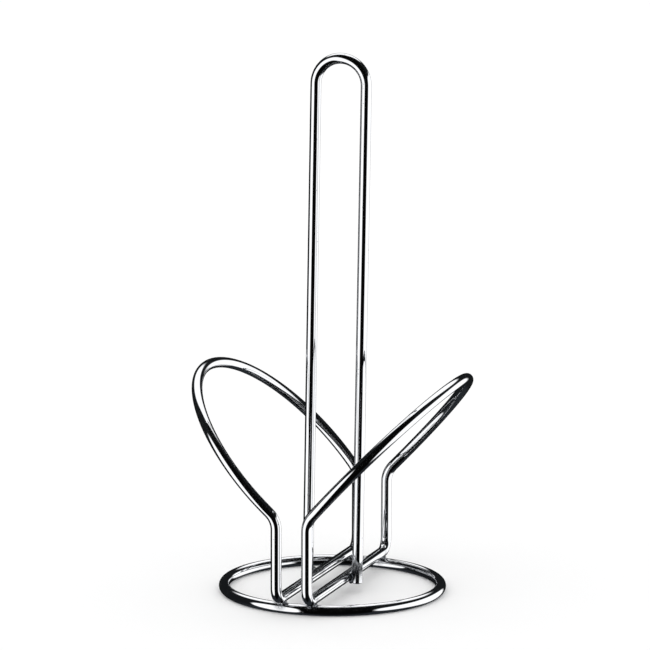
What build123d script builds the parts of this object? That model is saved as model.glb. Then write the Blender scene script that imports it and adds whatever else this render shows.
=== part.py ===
"""Paper towel holder bent from chromed steel wire, millimetres, +Z up.

Origin: centre of the base ring, on the surface that the ring stands on.
X runs across the two wings, Y along their bars, with +Y to the back.

A base ring lies flat. Two closed wire wings cross it side by side: each is a
straight bar on top of the ring, turned up into a short leg at the front and at
the back, and bent outwards at the knees into a round loop that leans away from
the middle. A tall hairpin post stands between the wings, with one leg welded to
the outer side of each bar. The paper roll slides down over the post and rests
on the two leaning loops. Every crossing of two wires is a weld, and so is the
joint where each closed wire meets its own other end.
"""
from build123d import *
from math import acos, atan2, cos, hypot, radians, sin, sqrt
import os

# Wire
wire_dia = 6.35
set_down = 0.25  # how far two crossing wires sink into each other in the weld

# Base ring
ring_radius = 64.0  # to the middle of the wire

# Wings
bar_offset = 9.3  # middle plane to a bar's centreline
leg_reach = 73.3  # ring centre to a leg's centreline, front and back
knee_rise = 54.0  # ring's centreline up to the knees
loop_lean = 43.0  # degrees away from upright
loop_radius = 76.5
loop_centre_rise = 23.9  # along the slope, from the knees to the loop's centre
corner_radius = 8.0
knee_radius = 14.0

# Centre post
post_height = 319.2  # floor to the top of the arch
post_lean = 0.85  # degrees towards +X, about the bars
post_end_height = 5.6  # floor to the cut ends
end_chamfer = 0.5

# Welds
ring_bead = (3.0, 2.6)  # radius and height
post_bead = (4.0, 3.0)  # more metal runs out round the post's feet
bead_edge = 0.9
seam_width = 1.4  # butt weld, along the wire
seam_flash = 0.22  # how far the butt weld stands proud of the wire
seam_edge = 0.18
ring_seam_at = 94.0  # degrees round from +X, between the two bars at the back
wing_seam_y = 18.0  # the left wing is the right one turned half round, so its seam is at -Y

# Worked out from the driving dimensions
wire_radius = wire_dia / 2
weld_pitch = wire_dia - set_down
ring_z = wire_radius
bar_z = ring_z + weld_pitch
knee_z = ring_z + knee_rise
post_offset = bar_offset + weld_pitch
crossing_y = sqrt(ring_radius**2 - bar_offset**2)
sides = {"left": -1, "right": 1}

os.makedirs("parts", exist_ok=True)


def finish(piece, name):
    """Label a sub-part and write its STEP file."""
    piece.part.label = name
    export_step(piece.part, f"parts/{name}.step")


def section_at(line, position):
    """Plane across a path, at a position between 0 and 1 along it."""
    return Plane(origin=line @ position, z_dir=line % position)


def slope_point(side, along, up):
    """Point in a wing's leaning plane: along is in Y, up is along the slope."""
    lean = radians(loop_lean)
    return (side * (bar_offset + up * sin(lean)), along, knee_z + up * cos(lean))


def make_seam(centre, direction):
    """Butt weld: a narrow collar that fills the gap between a wire's two ends."""
    start = Vector(centre) - Vector(direction) * (seam_width / 2)
    with BuildPart() as seam:
        with BuildSketch(Plane(origin=start, z_dir=direction)):
            Circle(wire_radius + seam_flash)
        extrude(amount=seam_width)
        fillet(seam.edges().filter_by(GeomType.CIRCLE), seam_edge)
        split(bisect_by=Plane.XY, keep=Keep.TOP)  # ground flush where it meets the floor
    return seam


# Base ring, opened by the width of its butt weld
ring_seam_angle = radians(ring_seam_at)
ring_seam_centre = (ring_radius * cos(ring_seam_angle), ring_radius * sin(ring_seam_angle), ring_z)
ring_seam_direction = (-sin(ring_seam_angle), cos(ring_seam_angle), 0)
with BuildPart() as base_ring:
    with Locations((0, 0, ring_z)):
        Torus(ring_radius, wire_radius)
    with Locations(Plane(origin=ring_seam_centre, z_dir=ring_seam_direction)):
        Box(2 * wire_dia, 2 * wire_dia, seam_width, mode=Mode.SUBTRACT)
finish(base_ring, "base_ring")
finish(make_seam(ring_seam_centre, ring_seam_direction), "base_ring_butt_weld")


# Wings: the slope is straight from the knee to where it meets the loop's circle
knee_distance = hypot(leg_reach, loop_centre_rise)
knee_angle = atan2(-loop_centre_rise, leg_reach)
tangent_angle = knee_angle + acos(loop_radius / knee_distance)
tangent_y = loop_radius * cos(tangent_angle)
tangent_up = loop_centre_rise + loop_radius * sin(tangent_angle)
loop_top = loop_centre_rise + loop_radius


def make_wing(side):
    """One closed wire: bar, two corners, two legs, two knees and the leaning loop."""
    bar_x = side * bar_offset
    seam_y = side * wing_seam_y
    back_start = slope_point(side, tangent_y, tangent_up)
    front_start = slope_point(side, -tangent_y, tangent_up)
    with BuildPart() as wing:
        with BuildLine() as wire_path:
            FilletPolyline(
                (bar_x, seam_y + seam_width / 2, bar_z),
                (bar_x, leg_reach, bar_z),
                (bar_x, leg_reach, knee_z),
                back_start,
                radius=[corner_radius, knee_radius],
            )
            ThreePointArc(back_start, slope_point(side, 0, loop_top), front_start)
            FilletPolyline(
                front_start,
                (bar_x, -leg_reach, knee_z),
                (bar_x, -leg_reach, bar_z),
                (bar_x, seam_y - seam_width / 2, bar_z),
                radius=[knee_radius, corner_radius],
            )
        with BuildSketch(section_at(wire_path.line, 0)):
            Circle(wire_radius)
        sweep(path=wire_path.line)
        add(base_ring.part, mode=Mode.SUBTRACT)
    return wing


wings = {name: make_wing(side) for name, side in sides.items()}
for name, side in sides.items():
    finish(wings[name], f"{name}_wing")
    seam_centre = (side * bar_offset, side * wing_seam_y, bar_z)
    finish(make_seam(seam_centre, (0, 1, 0)), f"{name}_wing_butt_weld")


# Centre post: a hairpin in its own plane, which leans about the bars
lean = radians(post_lean)
post_plane = Plane(origin=(0, 0, bar_z), x_dir=(cos(lean), 0, -sin(lean)), z_dir=(0, -1, 0))
post_rise = (post_height - bar_z - wire_radius - post_offset) / cos(lean)
post_drop = bar_z - post_end_height
with BuildPart() as centre_post:
    with BuildLine(post_plane) as post_path:
        Line((-post_offset, -post_drop), (-post_offset, post_rise))
        CenterArc((0, post_rise), post_offset, 180, -180)
        Line((post_offset, post_rise), (post_offset, -post_drop))
    with BuildSketch(section_at(post_path.line, 0)):
        Circle(wire_radius)
    sweep(path=post_path.line)
    cut_ends = centre_post.faces().sort_by(Axis.Z)[:2]
    chamfer(cut_ends.edges(), end_chamfer)
    for wing in wings.values():
        add(wing.part, mode=Mode.SUBTRACT)
finish(centre_post, "centre_post")


def make_bead(centre, normal, size, wires):
    """Weld bead squeezed out round a contact, shaped by the wires that it joins."""
    radius, height = size
    start = Vector(centre) - Vector(normal) * (height / 2)
    with BuildPart() as bead:
        with BuildSketch(Plane(origin=start, z_dir=normal)):
            Circle(radius)
        extrude(amount=height)
        fillet(bead.edges().filter_by(GeomType.CIRCLE), bead_edge)
        for wire in wires:
            add(wire.part, mode=Mode.SUBTRACT)
    return bead


# Two beads hold each bar to the ring, and one holds each post leg to its bar
for name, side in sides.items():
    for place, end in {"front": -1, "back": 1}.items():
        contact = (side * bar_offset, end * crossing_y, ring_z + weld_pitch / 2)
        bead = make_bead(contact, (0, 0, 1), ring_bead, [base_ring, wings[name]])
        finish(bead, f"ring_weld_{place}_{name}")
    contact = (side * (bar_offset + weld_pitch / 2), 0, bar_z)
    bead = make_bead(contact, (1, 0, 0), post_bead, [wings[name], centre_post])
    finish(bead, f"post_weld_{name}")
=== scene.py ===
import math

import bpy
import numpy as np
from mathutils import Matrix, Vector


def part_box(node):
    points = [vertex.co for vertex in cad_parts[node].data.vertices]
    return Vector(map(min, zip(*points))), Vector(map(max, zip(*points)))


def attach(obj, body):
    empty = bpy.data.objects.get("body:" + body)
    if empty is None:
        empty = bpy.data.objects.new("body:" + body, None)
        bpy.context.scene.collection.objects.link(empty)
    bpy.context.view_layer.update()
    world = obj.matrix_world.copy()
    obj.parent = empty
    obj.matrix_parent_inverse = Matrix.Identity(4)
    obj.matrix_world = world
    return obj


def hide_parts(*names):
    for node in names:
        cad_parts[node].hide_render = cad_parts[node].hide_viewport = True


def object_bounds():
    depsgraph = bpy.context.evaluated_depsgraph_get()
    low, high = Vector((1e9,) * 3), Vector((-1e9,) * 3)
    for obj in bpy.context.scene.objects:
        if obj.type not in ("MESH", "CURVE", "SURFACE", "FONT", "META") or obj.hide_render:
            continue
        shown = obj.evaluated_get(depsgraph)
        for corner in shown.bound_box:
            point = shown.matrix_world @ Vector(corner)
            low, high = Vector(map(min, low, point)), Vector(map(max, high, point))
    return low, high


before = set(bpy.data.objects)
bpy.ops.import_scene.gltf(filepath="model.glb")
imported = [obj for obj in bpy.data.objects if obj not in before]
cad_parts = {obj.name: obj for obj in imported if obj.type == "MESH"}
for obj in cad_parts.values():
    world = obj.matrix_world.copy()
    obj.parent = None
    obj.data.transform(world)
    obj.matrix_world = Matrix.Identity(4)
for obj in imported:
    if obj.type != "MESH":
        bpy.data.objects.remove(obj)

scene = bpy.context.scene
cadLow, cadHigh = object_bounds()
print("frame loaded:", len(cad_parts), "CAD nodes")


# sizes read from the frame, in metres
ringLow, ringHigh = np.array(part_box("base_ring"))
wingLow, wingHigh = np.array(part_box("right_wing"))
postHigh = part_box("centre_post")[1]

wireRadius = (ringHigh[2] - ringLow[2]) / 2
ringRadius = (ringHigh[0] - ringLow[0]) / 2 - wireRadius
ringZ = ringLow[2] + wireRadius
barOffset = wingLow[0] + wireRadius
barZ = wingLow[2] + wireRadius
weldPitch = barZ - ringZ  # between the middles of two welded wires
postOffset = barOffset + weldPitch
crossingY = math.sqrt(ringRadius**2 - barOffset**2)
sides = {"Left": -1, "Right": 1}
axisX, axisY, axisZ = np.eye(3)


# paths are points and unit tangents; this one is a + (b - a) t, evenly spaced, with b left out
def straightRun(a, b, step):
    length = np.linalg.norm(b - a)
    count = max(wire["fewestInRun"], round(length / step))
    t = np.arange(count)[:, None] / count
    return a + (b - a) * t, np.repeat((b - a)[None] / length, count, axis=0)


# centre + radius (out cos t + along sin t) for t from 0 to turn, tangent by its derivative
def roundRun(centre, out, along, radius, turn, step):
    count = max(wire["fewestInArc"], round(radius * turn / step))
    t = np.arange(count)[:, None] / count * turn
    points = centre + radius * (out * np.cos(t) + along * np.sin(t))
    return points, along * np.cos(t) - out * np.sin(t)


# straight runs joined by arcs: an arc of radius R that turns by T leaves the run R tan(T / 2)
# before the corner, and its centre lies R from there, square to the run
def bentRuns(corners, radii, step):
    runs, start = [], corners[0]
    for before, corner, after, radius in zip(corners, corners[1:], corners[2:], radii):
        arrive = (corner - before) / np.linalg.norm(corner - before)
        leave = (after - corner) / np.linalg.norm(after - corner)
        turn = math.acos(arrive @ leave)
        reach = radius * math.tan(turn / 2)
        out = (arrive * math.cos(turn) - leave) / math.sin(turn)
        runs.append(straightRun(start, corner - arrive * reach, step))
        centre = corner - arrive * reach - out * radius
        runs.append(roundRun(centre, out, arrive, radius, turn, step / 2))
        start = corner + leave * reach
    runs.append(straightRun(start, corners[-1], step))
    return runs


# the runs' points end to end, and their tangents
def joinRuns(runs):
    return np.concatenate([run[0] for run in runs]), np.concatenate([run[1] for run in runs])


# quads between neighbours on a grid whose columns close; its rows close too, or each end
# is shut by triangles to the mean of its row
def gridMesh(name, grid, closeRows):
    rows, columns = grid.shape[:2]
    quadRows = rows if closeRows else rows - 1
    row, column = np.meshgrid(np.arange(quadRows), np.arange(columns), indexing="ij")
    nextRow, nextColumn = (row + 1) % rows, (column + 1) % columns
    corners = [row * columns + column, row * columns + nextColumn,
               nextRow * columns + nextColumn, nextRow * columns + column]
    faces = np.stack(corners, -1).reshape(-1, 4).tolist()
    points = grid.reshape(-1, 3)
    if not closeRows:
        around = np.arange(columns)
        nextAround = (around + 1) % columns
        lastRow = (rows - 1) * columns
        firstPole, lastPole = np.full(columns, rows * columns), np.full(columns, rows * columns + 1)
        faces += np.stack([firstPole, nextAround, around], -1).tolist()
        faces += np.stack([lastPole, lastRow + around, lastRow + nextAround], -1).tolist()
        points = np.concatenate([points, grid[0].mean(0)[None], grid[-1].mean(0)[None]])
    mesh = bpy.data.meshes.new(name)
    mesh.from_pydata(points, [], faces)
    mesh.polygons.foreach_set("use_smooth", np.ones(len(faces), bool))
    mesh.update()
    piece = bpy.data.objects.new(name, mesh)
    scene.collection.objects.link(piece)
    return piece


# one value a grid point goes to the mesh; the two poles, if any, take the mean of their rows
def giveAttribute(piece, name, grid):
    values = grid.reshape(-1, grid.shape[-1])
    if len(values) < len(piece.data.vertices):
        values = np.concatenate([values, grid[0].mean(0)[None], grid[-1].mean(0)[None]])
    isVector = grid.shape[-1] == 3
    attribute = piece.data.attributes.new(name, "FLOAT_VECTOR" if isVector else "FLOAT", "POINT")
    attribute.data.foreach_set("vector" if isVector else "value", values.astype(np.float32).ravel())


# where wires are welded to each other
ringWelds = {
    f"ring_weld_{place}_{name.lower()}":
        np.array([side * barOffset, end * crossingY, ringZ + weldPitch / 2])
    for name, side in sides.items()
    for place, end in {"front": -1, "back": 1}.items()
}
postWelds = {
    f"post_weld_{name.lower()}": np.array([side * (barOffset + weldPitch / 2), 0, barZ])
    for name, side in sides.items()
}

wire = {
    "step": 0.0009,  # along a straight run; half of it round a bend
    "around": 56,
    "fewestInRun": 2,
    "fewestInArc": 8,
    "ringWeldReach": 0.0046,  # how far plating stays dull round a weld
    "postWeldReach": 0.0068,
    "postWeldRise": 0.0034,  # the post welds' dark patch is raised this far up the post's legs: a painted reflection of the ring, which falls there
    "weldFade": 4,  # the higher, the sharper the dull patch ends
    "flatten": 0.03,  # share of the radius lost on the outside of the tightest bend
    "tightest": 0.008,  # radius of that bend
    "leastBend": 1e-9,  # stands in on a straight run, which has none
    "evening": (1, 2, 3),  # steps over which the change of bend is evened out
}


# nearness to a weld, or on the post's legs to the raised patch that paints the ring's reflection: the
# largest of exp(-(distance / reach)^fade)
def weldAndReflectionNearness(grid):
    # the post welds' patches are raised up the legs, where they paint the ring's dark reflection
    postWeldAndReflectionCentres = [centre + axisZ * wire["postWeldRise"] for centre in postWelds.values()]
    places = np.array(list(ringWelds.values()) + postWeldAndReflectionCentres)
    reaches = [wire["ringWeldReach"]] * len(ringWelds) + [wire["postWeldReach"]] * len(postWelds)
    distance = np.linalg.norm(grid[..., None, :] - places, axis=-1)
    return np.exp(-((distance / reaches) ** wire["weldFade"])).max(-1)[..., None]


# how sharply a path bends: change of tangent over distance, evened out over a few steps
def bendAlong(points, tangents, closed):
    ahead, behind = np.roll(tangents, -1, 0), np.roll(tangents, 1, 0)
    distance = np.linalg.norm(np.roll(points, -1, 0) - np.roll(points, 1, 0), axis=1)
    bend = (ahead - behind) / np.maximum(distance, wire["step"])[:, None]
    if not closed:
        bend[[0, -1]] = 0
    for shift in wire["evening"]:
        bend = (np.roll(bend, shift, 0) + bend + np.roll(bend, -shift, 0)) / 3
    return bend


# a circle carried along a path: point = path + radius (side cos a + upper sin a), where side is
# the reference made square to the tangent and upper = tangent x side; outside a bend the radius
# is less by the share flatten x bend x tightest radius x cos^2 of the angle from the outside
def wirePiece(name, path, reference, closed, scale=1.0):
    points, tangents = path
    side = reference - (tangents @ reference)[:, None] * tangents
    side /= np.linalg.norm(side, axis=1)[:, None]
    upper = np.cross(tangents, side)
    angle = np.arange(wire["around"]) / wire["around"] * 2 * np.pi
    outward = side[:, None] * np.cos(angle)[:, None] + upper[:, None] * np.sin(angle)[:, None]
    bend = bendAlong(points, tangents, closed)
    outside = np.maximum(-(outward * bend[:, None]).sum(-1), 0)
    sharpness = np.maximum(np.linalg.norm(bend, axis=1), wire["leastBend"])[:, None]
    flattened = wire["flatten"] * wire["tightest"] * outside**2 / sharpness
    radius = wireRadius * np.reshape(scale, (-1, 1)) * (1 - flattened)
    grid = points[:, None] + radius[..., None] * outward
    piece = gridMesh(name, grid, closed)
    steps = np.linalg.norm(np.diff(points, axis=0), axis=1)
    along = np.concatenate([[0], np.cumsum(steps)])[:, None]
    aroundX, aroundY = radius * np.cos(angle), radius * np.sin(angle)
    giveAttribute(piece, "straight", np.stack(np.broadcast_arrays(aroundX, aroundY, along), -1))
    giveAttribute(piece, "weldNear", weldAndReflectionNearness(grid))
    return piece


# a squeezed-out blob round a contact: centre + height sin(b) normal + radius cos(b)^blunt
# (1 + waves) around, where the waves are a few sines of a and b, and a four-fold one fills
# the open corners between the two wires; the height takes a share of the waves too
def weldBlob(name, centre, normal, across, setting, rng):
    other = np.cross(normal, across)
    b = np.linspace(-1, 1, setting["rows"] + 2)[1:-1, None] * np.pi / 2
    a = np.arange(setting["around"])[None] / setting["around"] * 2 * np.pi
    waves = setting["cornerFill"] * -np.cos(4 * a) * np.cos(b) ** 2
    for turns in range(2, setting["mostWaves"] + 1):
        phase, tilt = rng.uniform(0, 2 * np.pi), rng.uniform(-1, 1) * setting["twist"]
        waves = waves + setting["lumps"] / turns * np.sin(turns * a + phase + tilt * b)
    flat = setting["radius"] * np.cos(b) ** setting["blunt"] * (1 + waves)
    rise = setting["height"] * np.sin(b) * (1 + setting["heightWaves"] * waves)
    grid = (centre + rise[..., None] * normal
            + (flat * np.cos(a))[..., None] * across + (flat * np.sin(a))[..., None] * other)
    return gridMesh(name, grid, False)


# a thin collar of flash: centre + s along + r(s, a) around, with
# r = wire radius + flash exp(-(s / width)^2) (1 + waves of a) - sink (s / reach)^4, so its rims
# end inside the wire
def seamCollar(name, centre, along, across, setting, rng):
    other = np.cross(along, across)
    s = np.linspace(-1, 1, setting["rows"])[:, None]
    a = np.arange(wire["around"])[None] / wire["around"] * 2 * np.pi
    waves = 0
    for turns in range(2, setting["mostWaves"] + 1):
        phase, tilt = rng.uniform(0, 2 * np.pi), rng.uniform(-1, 1) * setting["twist"]
        waves = waves + setting["lumps"] / math.sqrt(turns) * np.sin(turns * a + phase + tilt * s)
    place = s * setting["reach"]
    radius = wireRadius + setting["flash"] * np.exp(-((place / setting["width"]) ** 2)) * (1 + waves)
    radius = radius - setting["sink"] * s**4
    grid = (centre + place[..., None] * along
            + (radius * np.cos(a))[..., None] * across + (radius * np.sin(a))[..., None] * other)
    grid[..., 2] = np.maximum(grid[..., 2], cadLow[2])  # ground flush where the ring stands
    return gridMesh(name, grid, False)


# shorthands that add a node with its settings, and join an output to an input
def nodeTools(tree):
    def add(kind, inputs=None, **settings):
        node = tree.nodes.new(kind)
        for key, value in settings.items():
            setattr(node, key, value)
        for key, value in (inputs or {}).items():
            if isinstance(value, tuple) and isinstance(value[0], bpy.types.Node):
                tree.links.new(value[0].outputs[value[1]], node.inputs[key])
            else:
                node.inputs[key].default_value = value
        return node

    def join(source, output, target, inlet):
        tree.links.new(source.outputs[output], target.inputs[inlet])

    return add, join


chrome = {
    "bright": (0.83, 0.84, 0.86, 1),
    "soft": (0.76, 0.77, 0.79, 1),
    # dark of burnt plating near a weld and of pits, and the painted dark reflection of the ring on the
    # post's legs
    "burnPitAndReflection": (0.05, 0.058, 0.07, 1),
    "roughness": 0.03,
    "smudgeRoughness": 0.05,  # these three are added to it
    "scratchRoughness": 0.09,
    "nearWeldRoughness": 0.2,
    "peelHeight": 0.000004,  # metres
    "lineHeight": 0.0000007,
    "pitDepth": 0.000012,
    "grainHeight": 0.00005,
    "peelScale": 480,  # pattern repeats in a metre
    "lineScale": 2600,
    "scratchScale": 1500,
    "smudgeScale": 46,
    "pitScale": 420,
    "grainScale": 1300,
    "toneScale": 16,
    "lineStretch": 0.012,  # share of the scale that is left along the wire
    "scratchStretch": 0.04,
    "scratchSlant": (0.6, 0.25, 0),
    "scratchFrom": (0.66, 0.72),  # noise between these is where the mark fades in
    "smudgeFrom": (0.5, 0.68),
    "mottleFrom": (0.24, 0.52),
    "pitFrom": (0.16, 0.05),  # distance from a cell's middle, rim to floor of the pit
    "cellsWithout": 0.9,  # share of cells that have no pit
}


# a polished metal whose roughness = base + smudges + scratches + nearness to a weld or to the painted
# reflection, whose colour goes from one bright tone to another, to dark in pits, to burnt near a weld
# and to a painted dark reflection of the ring up the post's legs, and whose bumps are peel, drawing
# lines, pits and weld grain, one on the other
def chromedWireMaterial():
    material = bpy.data.materials.new("chromedWire")
    material.use_nodes = True
    add, join = nodeTools(material.node_tree)
    shader = material.node_tree.nodes["Principled BSDF"]
    shader.inputs["Metallic"].default_value = 1.0
    straight = add("ShaderNodeAttribute", attribute_name="straight")
    weldNear = add("ShaderNodeAttribute", attribute_name="weldNear")
    place = add("ShaderNodeTexCoord")

    def noise(source, scale, detail, roughness=0.5):
        return add("ShaderNodeTexNoise",
                   {"Vector": source, "Scale": chrome[scale], "Detail": detail, "Roughness": roughness})

    def fade(value, ends, interpolation="LINEAR"):
        start, end = chrome[ends]
        return add("ShaderNodeMapRange", {"Value": value, "From Min": start, "From Max": end},
                   interpolation_type=interpolation)

    # lines left by the drawing die, long and fine along the wire
    stretched = add("ShaderNodeMapping",
                    {"Vector": (straight, "Vector"), "Scale": (1, 1, chrome["lineStretch"])})
    lines = noise((stretched, "Vector"), "lineScale", 3)
    # orange peel of the plating
    peel = noise((straight, "Vector"), "peelScale", 2, 0.4)
    # hairline scratches that slant round the wire
    slant = add("ShaderNodeMapping",
                {"Vector": (straight, "Vector"), "Rotation": chrome["scratchSlant"],
                 "Scale": (1, 1, chrome["scratchStretch"])})
    scratch = fade((noise((slant, "Vector"), "scratchScale", 1), "Fac"), "scratchFrom")
    # smudges from handling
    smudge = fade((noise((place, "Object"), "smudgeScale", 4, 0.62), "Fac"), "smudgeFrom", "SMOOTHSTEP")
    # a few pits in the plating: the middles of some cells
    cells = add("ShaderNodeTexVoronoi", {"Vector": (place, "Object"), "Scale": chrome["pitScale"]})
    cellNumber = add("ShaderNodeSeparateColor", {"Color": (cells, "Color")})
    chosen = add("ShaderNodeMath", {0: (cellNumber, "Red"), 1: chrome["cellsWithout"]},
                 operation="GREATER_THAN")
    cellMiddle = fade((cells, "Distance"), "pitFrom", "SMOOTHSTEP")
    pit = add("ShaderNodeMath", {0: (chosen, 0), 1: (cellMiddle, 0)}, operation="MULTIPLY")
    # grain of the metal that was melted
    grainNoise = noise((place, "Object"), "grainScale", 4, 0.6)
    grain = add("ShaderNodeMath", {0: (grainNoise, "Fac"), 1: (weldNear, "Fac")}, operation="MULTIPLY")

    toneNoise = noise((place, "Object"), "toneScale", 3)
    tone = add("ShaderNodeMix", {"Factor": (toneNoise, "Fac")}, data_type="RGBA")
    tone.inputs["A"].default_value = chrome["bright"]
    tone.inputs["B"].default_value = chrome["soft"]
    # dark, in mottled patches, where plating is burnt near a weld, and up the post's legs as a painted
    # reflection of the ring
    mottle = fade((grainNoise, "Fac"), "mottleFrom")
    burnAndPaintedReflection = add("ShaderNodeMath", {0: (weldNear, "Fac"), 1: (mottle, 0)}, operation="MULTIPLY")
    for darker in (burnAndPaintedReflection, pit):
        colour = add("ShaderNodeMix", {"Factor": (darker, 0)}, data_type="RGBA")
        join(tone, "Result", colour, "A")
        colour.inputs["B"].default_value = chrome["burnPitAndReflection"]
        tone = colour
    join(tone, "Result", shader, "Base Color")

    rough = chrome["roughness"]
    for mark, output, share in ((smudge, 0, "smudgeRoughness"), (scratch, 0, "scratchRoughness"),
                                (weldNear, "Fac", "nearWeldRoughness")):
        rough = add("ShaderNodeMath", {0: (mark, output), 1: chrome[share], 2: rough},
                    operation="MULTIPLY_ADD"), 0
    join(*rough, shader, "Roughness")

    bump = None
    for height, output, distance in ((peel, "Fac", "peelHeight"), (lines, "Fac", "lineHeight"),
                                     (pit, 0, "pitDepth"), (grain, 0, "grainHeight")):
        inputs = {"Height": (height, output), "Distance": chrome[distance]}
        if bump:
            inputs["Normal"] = (bump, 0)
        bump = add("ShaderNodeBump", inputs, invert=distance == "pitDepth")
    join(bump, 0, shader, "Normal")
    return material


platedWeld = {
    "high": (0.6, 0.62, 0.65, 1),
    "low": (0.1, 0.112, 0.13, 1),
    "roughness": (0.1, 0.34),
    "rippleHeight": 0.00004,  # metres
    "grainHeight": 0.00006,
    "rippleScale": 340,  # pattern repeats in a metre
    "grainScale": 1500,
    "patchScale": 700,
    "rippleBend": 6,
    "patchFrom": (0.42, 0.66),  # noise between these is where low turns to high
    "roughFrom": (0.3, 0.7),
}


# a metal in patches of two tones, rougher where its grain stands up, with ripples under it
def platedWeldMaterial():
    material = bpy.data.materials.new("platedWeld")
    material.use_nodes = True
    add, join = nodeTools(material.node_tree)
    shader = material.node_tree.nodes["Principled BSDF"]
    shader.inputs["Metallic"].default_value = 1.0
    place = add("ShaderNodeTexCoord")

    # ripples of the frozen metal, bent by a slow noise
    ripples = add("ShaderNodeTexWave",
                  {"Vector": (place, "Object"), "Scale": platedWeld["rippleScale"],
                   "Distortion": platedWeld["rippleBend"], "Detail": 2, "Detail Scale": 1.5},
                  bands_direction="DIAGONAL")
    grain = add("ShaderNodeTexNoise",
                {"Vector": (place, "Object"), "Scale": platedWeld["grainScale"], "Detail": 5,
                 "Roughness": 0.6})
    patches = add("ShaderNodeTexNoise",
                  {"Vector": (place, "Object"), "Scale": platedWeld["patchScale"], "Detail": 3})

    patchStart, patchEnd = platedWeld["patchFrom"]
    patch = add("ShaderNodeMapRange",
                {"Value": (patches, "Fac"), "From Min": patchStart, "From Max": patchEnd})
    colour = add("ShaderNodeMix", {"Factor": (patch, 0)}, data_type="RGBA")
    colour.inputs["A"].default_value = platedWeld["low"]
    colour.inputs["B"].default_value = platedWeld["high"]
    join(colour, "Result", shader, "Base Color")
    roughStart, roughEnd = platedWeld["roughFrom"]
    low, high = platedWeld["roughness"]
    rough = add("ShaderNodeMapRange", {"Value": (grain, "Fac"), "From Min": roughStart,
                                       "From Max": roughEnd, "To Min": low, "To Max": high})
    join(rough, 0, shader, "Roughness")
    rippleBump = add("ShaderNodeBump",
                     {"Height": (ripples, "Fac"), "Distance": platedWeld["rippleHeight"]})
    grainBump = add("ShaderNodeBump", {"Height": (grain, "Fac"), "Distance": platedWeld["grainHeight"],
                                       "Normal": (rippleBump, 0)})
    join(grainBump, 0, shader, "Normal")
    return material


finishes = {"chromed_wire": chromedWireMaterial(), "plated_weld": platedWeldMaterial()}
print("finishes made")


# gives a piece its finish and its body, and hides the CAD node that it stands for
def finishPiece(piece, slot, node):
    piece.data.materials.append(finishes[slot])
    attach(piece, "root")
    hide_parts(node)


# base ring, one full turn from its butt weld
baseRing = {"seamAt": math.radians(94)}

seamOut = axisX * math.cos(baseRing["seamAt"]) + axisY * math.sin(baseRing["seamAt"])
seamAlong = np.cross(axisZ, seamOut)
ringCentre = axisZ * ringZ
ringPath = roundRun(ringCentre, seamOut, seamAlong, ringRadius, 2 * math.pi, wire["step"])
finishPiece(wirePiece("baseRing", ringPath, axisZ, True), "chromed_wire", "base_ring")
print("base ring made")


# wings: bar, corner, leg, knee and a loop that leans out, each in one length of wire
wing = {
    "lean": math.radians(43),
    "legReach": 0.0733,
    "cornerRadius": 0.008,
    "kneeRadius": 0.014,
    "seamY": 0.018,
}

loopRadius = (wingHigh[1] - wingLow[1]) / 2 - wireRadius
topX, topZ = wingHigh[0] - wireRadius, wingHigh[2] - wireRadius
slopeLength = (topX - barOffset) / math.sin(wing["lean"])  # from the knees to the top of the loop
kneeZ = topZ - slopeLength * math.cos(wing["lean"])
loopRise = slopeLength - loopRadius  # from the knees to the loop's centre


# (side (bar + up sin lean), along, knee height + up cos lean)
def slopePoint(side, along, up):
    out = barOffset + up * math.sin(wing["lean"])
    return np.array([side * out, along, kneeZ + up * math.cos(wing["lean"])])


# the loop's circle meets each straight run where that run, drawn from the knee, is its tangent
def wingPath(side):
    reach, seamY = wing["legReach"], side * wing["seamY"]
    kneeAngle = math.atan2(-loopRise, reach)
    startAngle = kneeAngle + math.acos(loopRadius / math.hypot(reach, loopRise))
    startAlong, startUp = loopRadius * math.cos(startAngle), loopRise + loopRadius * math.sin(startAngle)
    backStart, frontStart = slopePoint(side, startAlong, startUp), slopePoint(side, -startAlong, startUp)
    seam = np.array([side * barOffset, seamY, barZ])
    backCorner, frontCorner = seam * [1, 0, 1] + axisY * reach, seam * [1, 0, 1] - axisY * reach
    backKnee, frontKnee = slopePoint(side, reach, 0), slopePoint(side, -reach, 0)
    centre = slopePoint(side, 0, loopRise)
    out = (backStart - centre) / loopRadius
    facing = np.cross(axisY, slopePoint(side, 0, 1) - slopePoint(side, 0, 0))
    turn = math.pi - 2 * startAngle
    tight, loose = wing["cornerRadius"], wing["kneeRadius"]
    runs = bentRuns([seam, backCorner, backKnee, backStart], [tight, loose], wire["step"])
    runs.append(roundRun(centre, out, np.cross(facing, out), loopRadius, turn, wire["step"]))
    runs += bentRuns([frontStart, frontKnee, frontCorner, seam], [loose, tight], wire["step"])
    return joinRuns(runs)


for name, side in sides.items():
    piece = wirePiece(f"wing{name}", wingPath(side), axisX, True)
    finishPiece(piece, "chromed_wire", f"{name.lower()}_wing")
print("wings made")


# centre post: a hairpin that leans a little, with sheared and chamfered ends
post = {
    "lean": math.radians(0.85),
    "endHeight": 0.0056,
    # distance in from the cut and share of the wire's radius, from the middle of the cut outwards
    "end": [(0.0001, 0.25), (0.00007, 0.55), (0.00002, 0.78), (0, 0.832), (0.00004, 0.846),
            (0.00046, 0.99), (0.00053, 1), (0.0007, 1)],
}

postAcross = axisX * math.cos(post["lean"]) - axisZ * math.sin(post["lean"])
postUp = axisX * math.sin(post["lean"]) + axisZ * math.cos(post["lean"])
archRise = (postHigh[2] - wireRadius - postOffset - barZ) / math.cos(post["lean"])
endDrop = barZ - post["endHeight"]


# the middle between the bars + across and up in the leaning plane of the hairpin
def postPoint(across, up):
    return axisZ * barZ + across * postAcross + up * postUp


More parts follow.
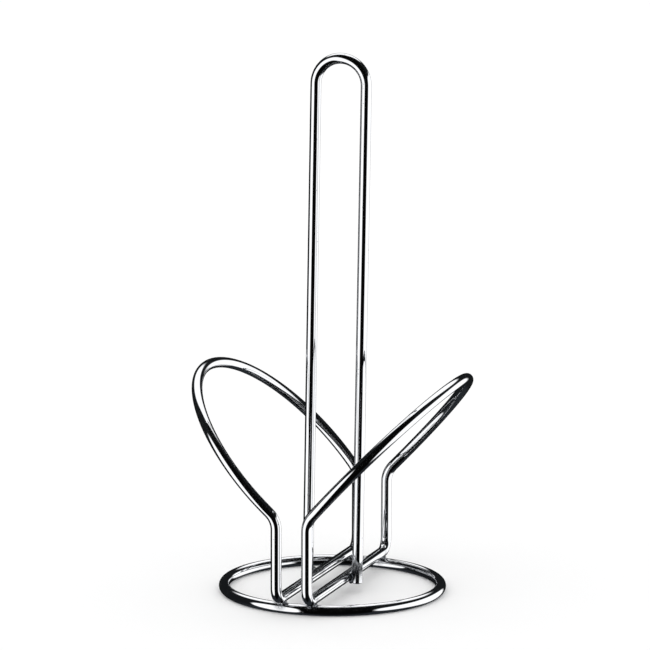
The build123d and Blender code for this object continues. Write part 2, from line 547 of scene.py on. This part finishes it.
endIn, endScale = np.array(post["end"]).T
leftEnd, rightEnd = postPoint(-postOffset, -endDrop), postPoint(postOffset, -endDrop)
leftTop, rightTop = postPoint(-postOffset, archRise), postPoint(postOffset, archRise)
straightFrom = endIn[-1] + wire["step"]
postRuns = [
    (leftEnd + endIn[:, None] * postUp, np.repeat(postUp[None], len(endIn), axis=0)),
    straightRun(leftEnd + straightFrom * postUp, leftTop, wire["step"]),
    roundRun(postPoint(0, archRise), -postAcross, postUp, postOffset, math.pi, wire["step"]),
    straightRun(rightTop, rightEnd + straightFrom * postUp, wire["step"]),
    (rightEnd + endIn[::-1, None] * postUp, np.repeat(-postUp[None], len(endIn), axis=0)),
]
middleRows = sum(len(run[0]) for run in postRuns[1:-1])
postScale = np.concatenate([endScale, np.ones(middleRows), endScale[::-1]])
centrePost = wirePiece("centrePost", joinRuns(postRuns), axisY, False, postScale)
finishPiece(centrePost, "chromed_wire", "centre_post")
print("centre post made")


# welds
ringWeld = {
    "radius": 0.0031,
    "height": 0.0015,
    "blunt": 0.8,  # the lower, the steeper the blob's side
    "lumps": 0.12,  # height of the waves, as a share of the radius
    "mostWaves": 8,
    "twist": 3,  # the most that a wave's phase moves while b grows by 1
    "heightWaves": 0.3,
    "cornerFill": 0.05,
    "rows": 26,
    "around": 72,
}
postWeld = {
    "radius": 0.0040,
    "height": 0.0019,
    "blunt": 0.75,
    "lumps": 0.16,
    "mostWaves": 8,
    "twist": 3,
    "heightWaves": 0.3,
    "cornerFill": 0.08,
    "rows": 30,
    "around": 84,
}
buttWeld = {
    "reach": 0.0008,
    "width": 0.0005,
    "flash": 0.0002,  # how far it stands proud of the wire
    "lumps": 0.16,
    "mostWaves": 11,
    "twist": 1,  # here while s grows by 1
    "sink": 0.00012,
    "rows": 15,
}

rng = np.random.default_rng(31)
weldKinds = [(ringWelds, axisZ, axisX, ringWeld), (postWelds, axisX, axisY, postWeld)]
for welds, normal, across, setting in weldKinds:
    for node, centre in welds.items():
        blob = weldBlob(node.replace("_weld_", "Weld."), centre, normal, across, setting, rng)
        finishPiece(blob, "plated_weld", node)
ringSeam = ringCentre + ringRadius * seamOut
collar = seamCollar("baseRingSeam", ringSeam, seamAlong, axisZ, buttWeld, rng)
finishPiece(collar, "plated_weld", "base_ring_butt_weld")
for name, side in sides.items():
    seam = np.array([side * barOffset, side * wing["seamY"], barZ])
    collar = seamCollar(f"wingSeam{name}", seam, axisY, axisX, buttWeld, rng)
    finishPiece(collar, "plated_weld", f"{name.lower()}_wing_butt_weld")
print("welds made")


# camera
view = {
    "azimuth": math.radians(18.93),  # to the right of the front
    "elevation": math.radians(10.08),
    "roll": math.radians(0.151),
    "distance": 2.481,
    "lens": 234.9,
    "aside": -0.0048,  # from the middle of the CAD box to what it looks at
    "lift": -0.00048,
    "farthest": 200,
}

around, above = view["azimuth"], view["elevation"]
level = math.cos(above)
back = np.array([math.sin(around) * level, -math.cos(around) * level, math.sin(above)])
levelRight = np.array([math.cos(around), math.sin(around), 0])
levelUp = np.cross(back, levelRight)
right = levelRight * math.cos(view["roll"]) + levelUp * math.sin(view["roll"])
middle = (np.array(cadLow) + np.array(cadHigh)) / 2
target = middle + levelRight * view["aside"] + levelUp * view["lift"]
placed = np.eye(4)
placed[:3] = np.stack([right, np.cross(back, right), back, target + back * view["distance"]], -1)
cameraData = bpy.data.cameras.new("camera")
cameraData.lens = view["lens"]
cameraData.clip_end = view["farthest"]
camera = bpy.data.objects.new("camera", cameraData)
camera.matrix_world = Matrix(placed.tolist())
scene.collection.objects.link(camera)
scene.camera = camera
print("camera placed")


# floor and light
studio = {
    "floor": 0.94,  # reflectance
    "floorSize": 80,
    "fill": 0.985,  # even light from all round
    "sun": 0.42,
    "sunSpread": math.radians(75),
    "sunTilt": math.radians(36),
    "sunTurn": math.radians(-25),
    "softBoxLight": 1.3,
    "roomFront": (0.002, 0.002, 0.002, 1),  # what the chrome sees between the boxes
    "roomAbove": (0.010, 0.011, 0.012, 1),
    "roomBelow": (0.022, 0.025, 0.029, 1),
    "frontEnds": (44, 62),  # degrees between which the front turns to the rest of the room
    "belowStarts": (-24, -46),
    "edge": 0.16,  # softness of a box's edge, as a share of its half width
}
# degrees to the right of the camera and above the floor; a corner of 2 makes a box an
# ellipse and more squares it
softBoxes = [
    {"azimuth": -61, "halfWidth": 27.5, "elevation": -10, "halfHeight": 42, "corner": 2.6},
    {"azimuth": 96, "halfWidth": 52, "elevation": -10, "halfHeight": 29, "corner": 3.2},
    {"azimuth": 180, "halfWidth": 64, "elevation": 70, "halfHeight": 42, "corner": 2.1},
]


# the tones of the room, and on them each box: lit where (u^corner + v^corner)^(1 / corner)
# is under 1, with u and v the angles from its middle as shares of its half width and height;
# the floor and what is seen past it get the same pale tone, so no horizon shows
def buildWorld():
    world = bpy.data.worlds.new("studio")
    world.use_nodes = True
    world.node_tree.nodes.clear()
    add, join = nodeTools(world.node_tree)
    scene.world = world

    def reckon(operation, first, second=0.0, third=0.0):
        return add("ShaderNodeMath", {0: first, 1: second, 2: third}, operation=operation), 0

    direction = add("ShaderNodeTexCoord")
    turned = add("ShaderNodeVectorRotate",
                 {"Vector": (direction, "Generated"), "Angle": -view["azimuth"]}, rotation_type="Z_AXIS")
    parts = add("ShaderNodeSeparateXYZ", {"Vector": (turned, 0)})
    toCamera = reckon("MULTIPLY", (parts, "Y"), -1.0)
    azimuth = reckon("DEGREES", reckon("ARCTAN2", (parts, "X"), toCamera))
    elevation = reckon("DEGREES", reckon("ARCSINE", (parts, "Z")))

    def smoothStep(value, start, end):
        return add("ShaderNodeMapRange", {"Value": value, "From Min": start, "From Max": end},
                   interpolation_type="SMOOTHSTEP"), 0

    def blend(factor, first, second):
        mixed = add("ShaderNodeMix", {"Factor": factor}, data_type="RGBA")
        for inlet, colour in (("A", first), ("B", second)):
            if isinstance(colour[0], bpy.types.Node):
                join(*colour, mixed, inlet)
            else:
                mixed.inputs[inlet].default_value = colour
        return mixed, "Result"

    isBelow = smoothStep(elevation, *studio["belowStarts"])
    aroundRoom = blend(isBelow, studio["roomAbove"], studio["roomBelow"])
    fromFront = reckon("ABSOLUTE", azimuth)
    light = blend(smoothStep(fromFront, *studio["frontEnds"]), studio["roomFront"], aroundRoom)
    for box in softBoxes:
        aside = reckon("WRAP", reckon("SUBTRACT", azimuth, box["azimuth"]), 180.0, -180.0)
        aloft = reckon("SUBTRACT", elevation, box["elevation"])
        u = reckon("DIVIDE", reckon("ABSOLUTE", aside), box["halfWidth"])
        v = reckon("DIVIDE", reckon("ABSOLUTE", aloft), box["halfHeight"])
        total = reckon("ADD", reckon("POWER", u, box["corner"]), reckon("POWER", v, box["corner"]))
        out = reckon("POWER", total, 1 / box["corner"])
        inside = smoothStep(out, 1 + studio["edge"] / 2, 1 - studio["edge"] / 2)
        light = blend(inside, light, (studio["softBoxLight"],) * 3 + (1,))

    fromSun = studio["sun"] * math.cos(studio["sunTilt"]) / math.pi
    paleTone = studio["floor"] * (studio["fill"] + fromSun)
    ray = add("ShaderNodeLightPath")
    plain = blend((ray, "Is Camera Ray"), (studio["fill"],) * 3 + (1,), (paleTone,) * 3 + (1,))
    seen = blend((ray, "Is Glossy Ray"), plain, light)
    background = add("ShaderNodeBackground", {"Color": seen})
    add("ShaderNodeOutputWorld", {"Surface": (background, 0)})


buildWorld()

half = studio["floorSize"] / 2
floorCorners = [(-half, -half, 0), (half, -half, 0), (half, half, 0), (-half, half, 0)]
floorMesh = bpy.data.meshes.new("floor")
floorMesh.from_pydata(floorCorners, [], [(0, 1, 2, 3)])
floor = bpy.data.objects.new("floor", floorMesh)
floor.visible_glossy = False  # the boxes and the room stand in for it in the chrome
scene.collection.objects.link(floor)
floorPaint = bpy.data.materials.new("floorPaint")
floorPaint.use_nodes = True
paint = floorPaint.node_tree.nodes["Principled BSDF"]
paint.inputs["Base Color"].default_value = (studio["floor"],) * 3 + (1,)
paint.inputs["Roughness"].default_value = 1.0
paint.inputs["Specular IOR Level"].default_value = 0.0
floorMesh.materials.append(floorPaint)

sunData = bpy.data.lights.new("softSun", "SUN")
sunData.energy = studio["sun"]
sunData.angle = studio["sunSpread"]
sun = bpy.data.objects.new("softSun", sunData)
sun.rotation_euler = (studio["sunTilt"], 0, studio["sunTurn"])
sun.visible_glossy = False
scene.collection.objects.link(sun)
scene.view_settings.view_transform = "Standard"
print("floor and light made")
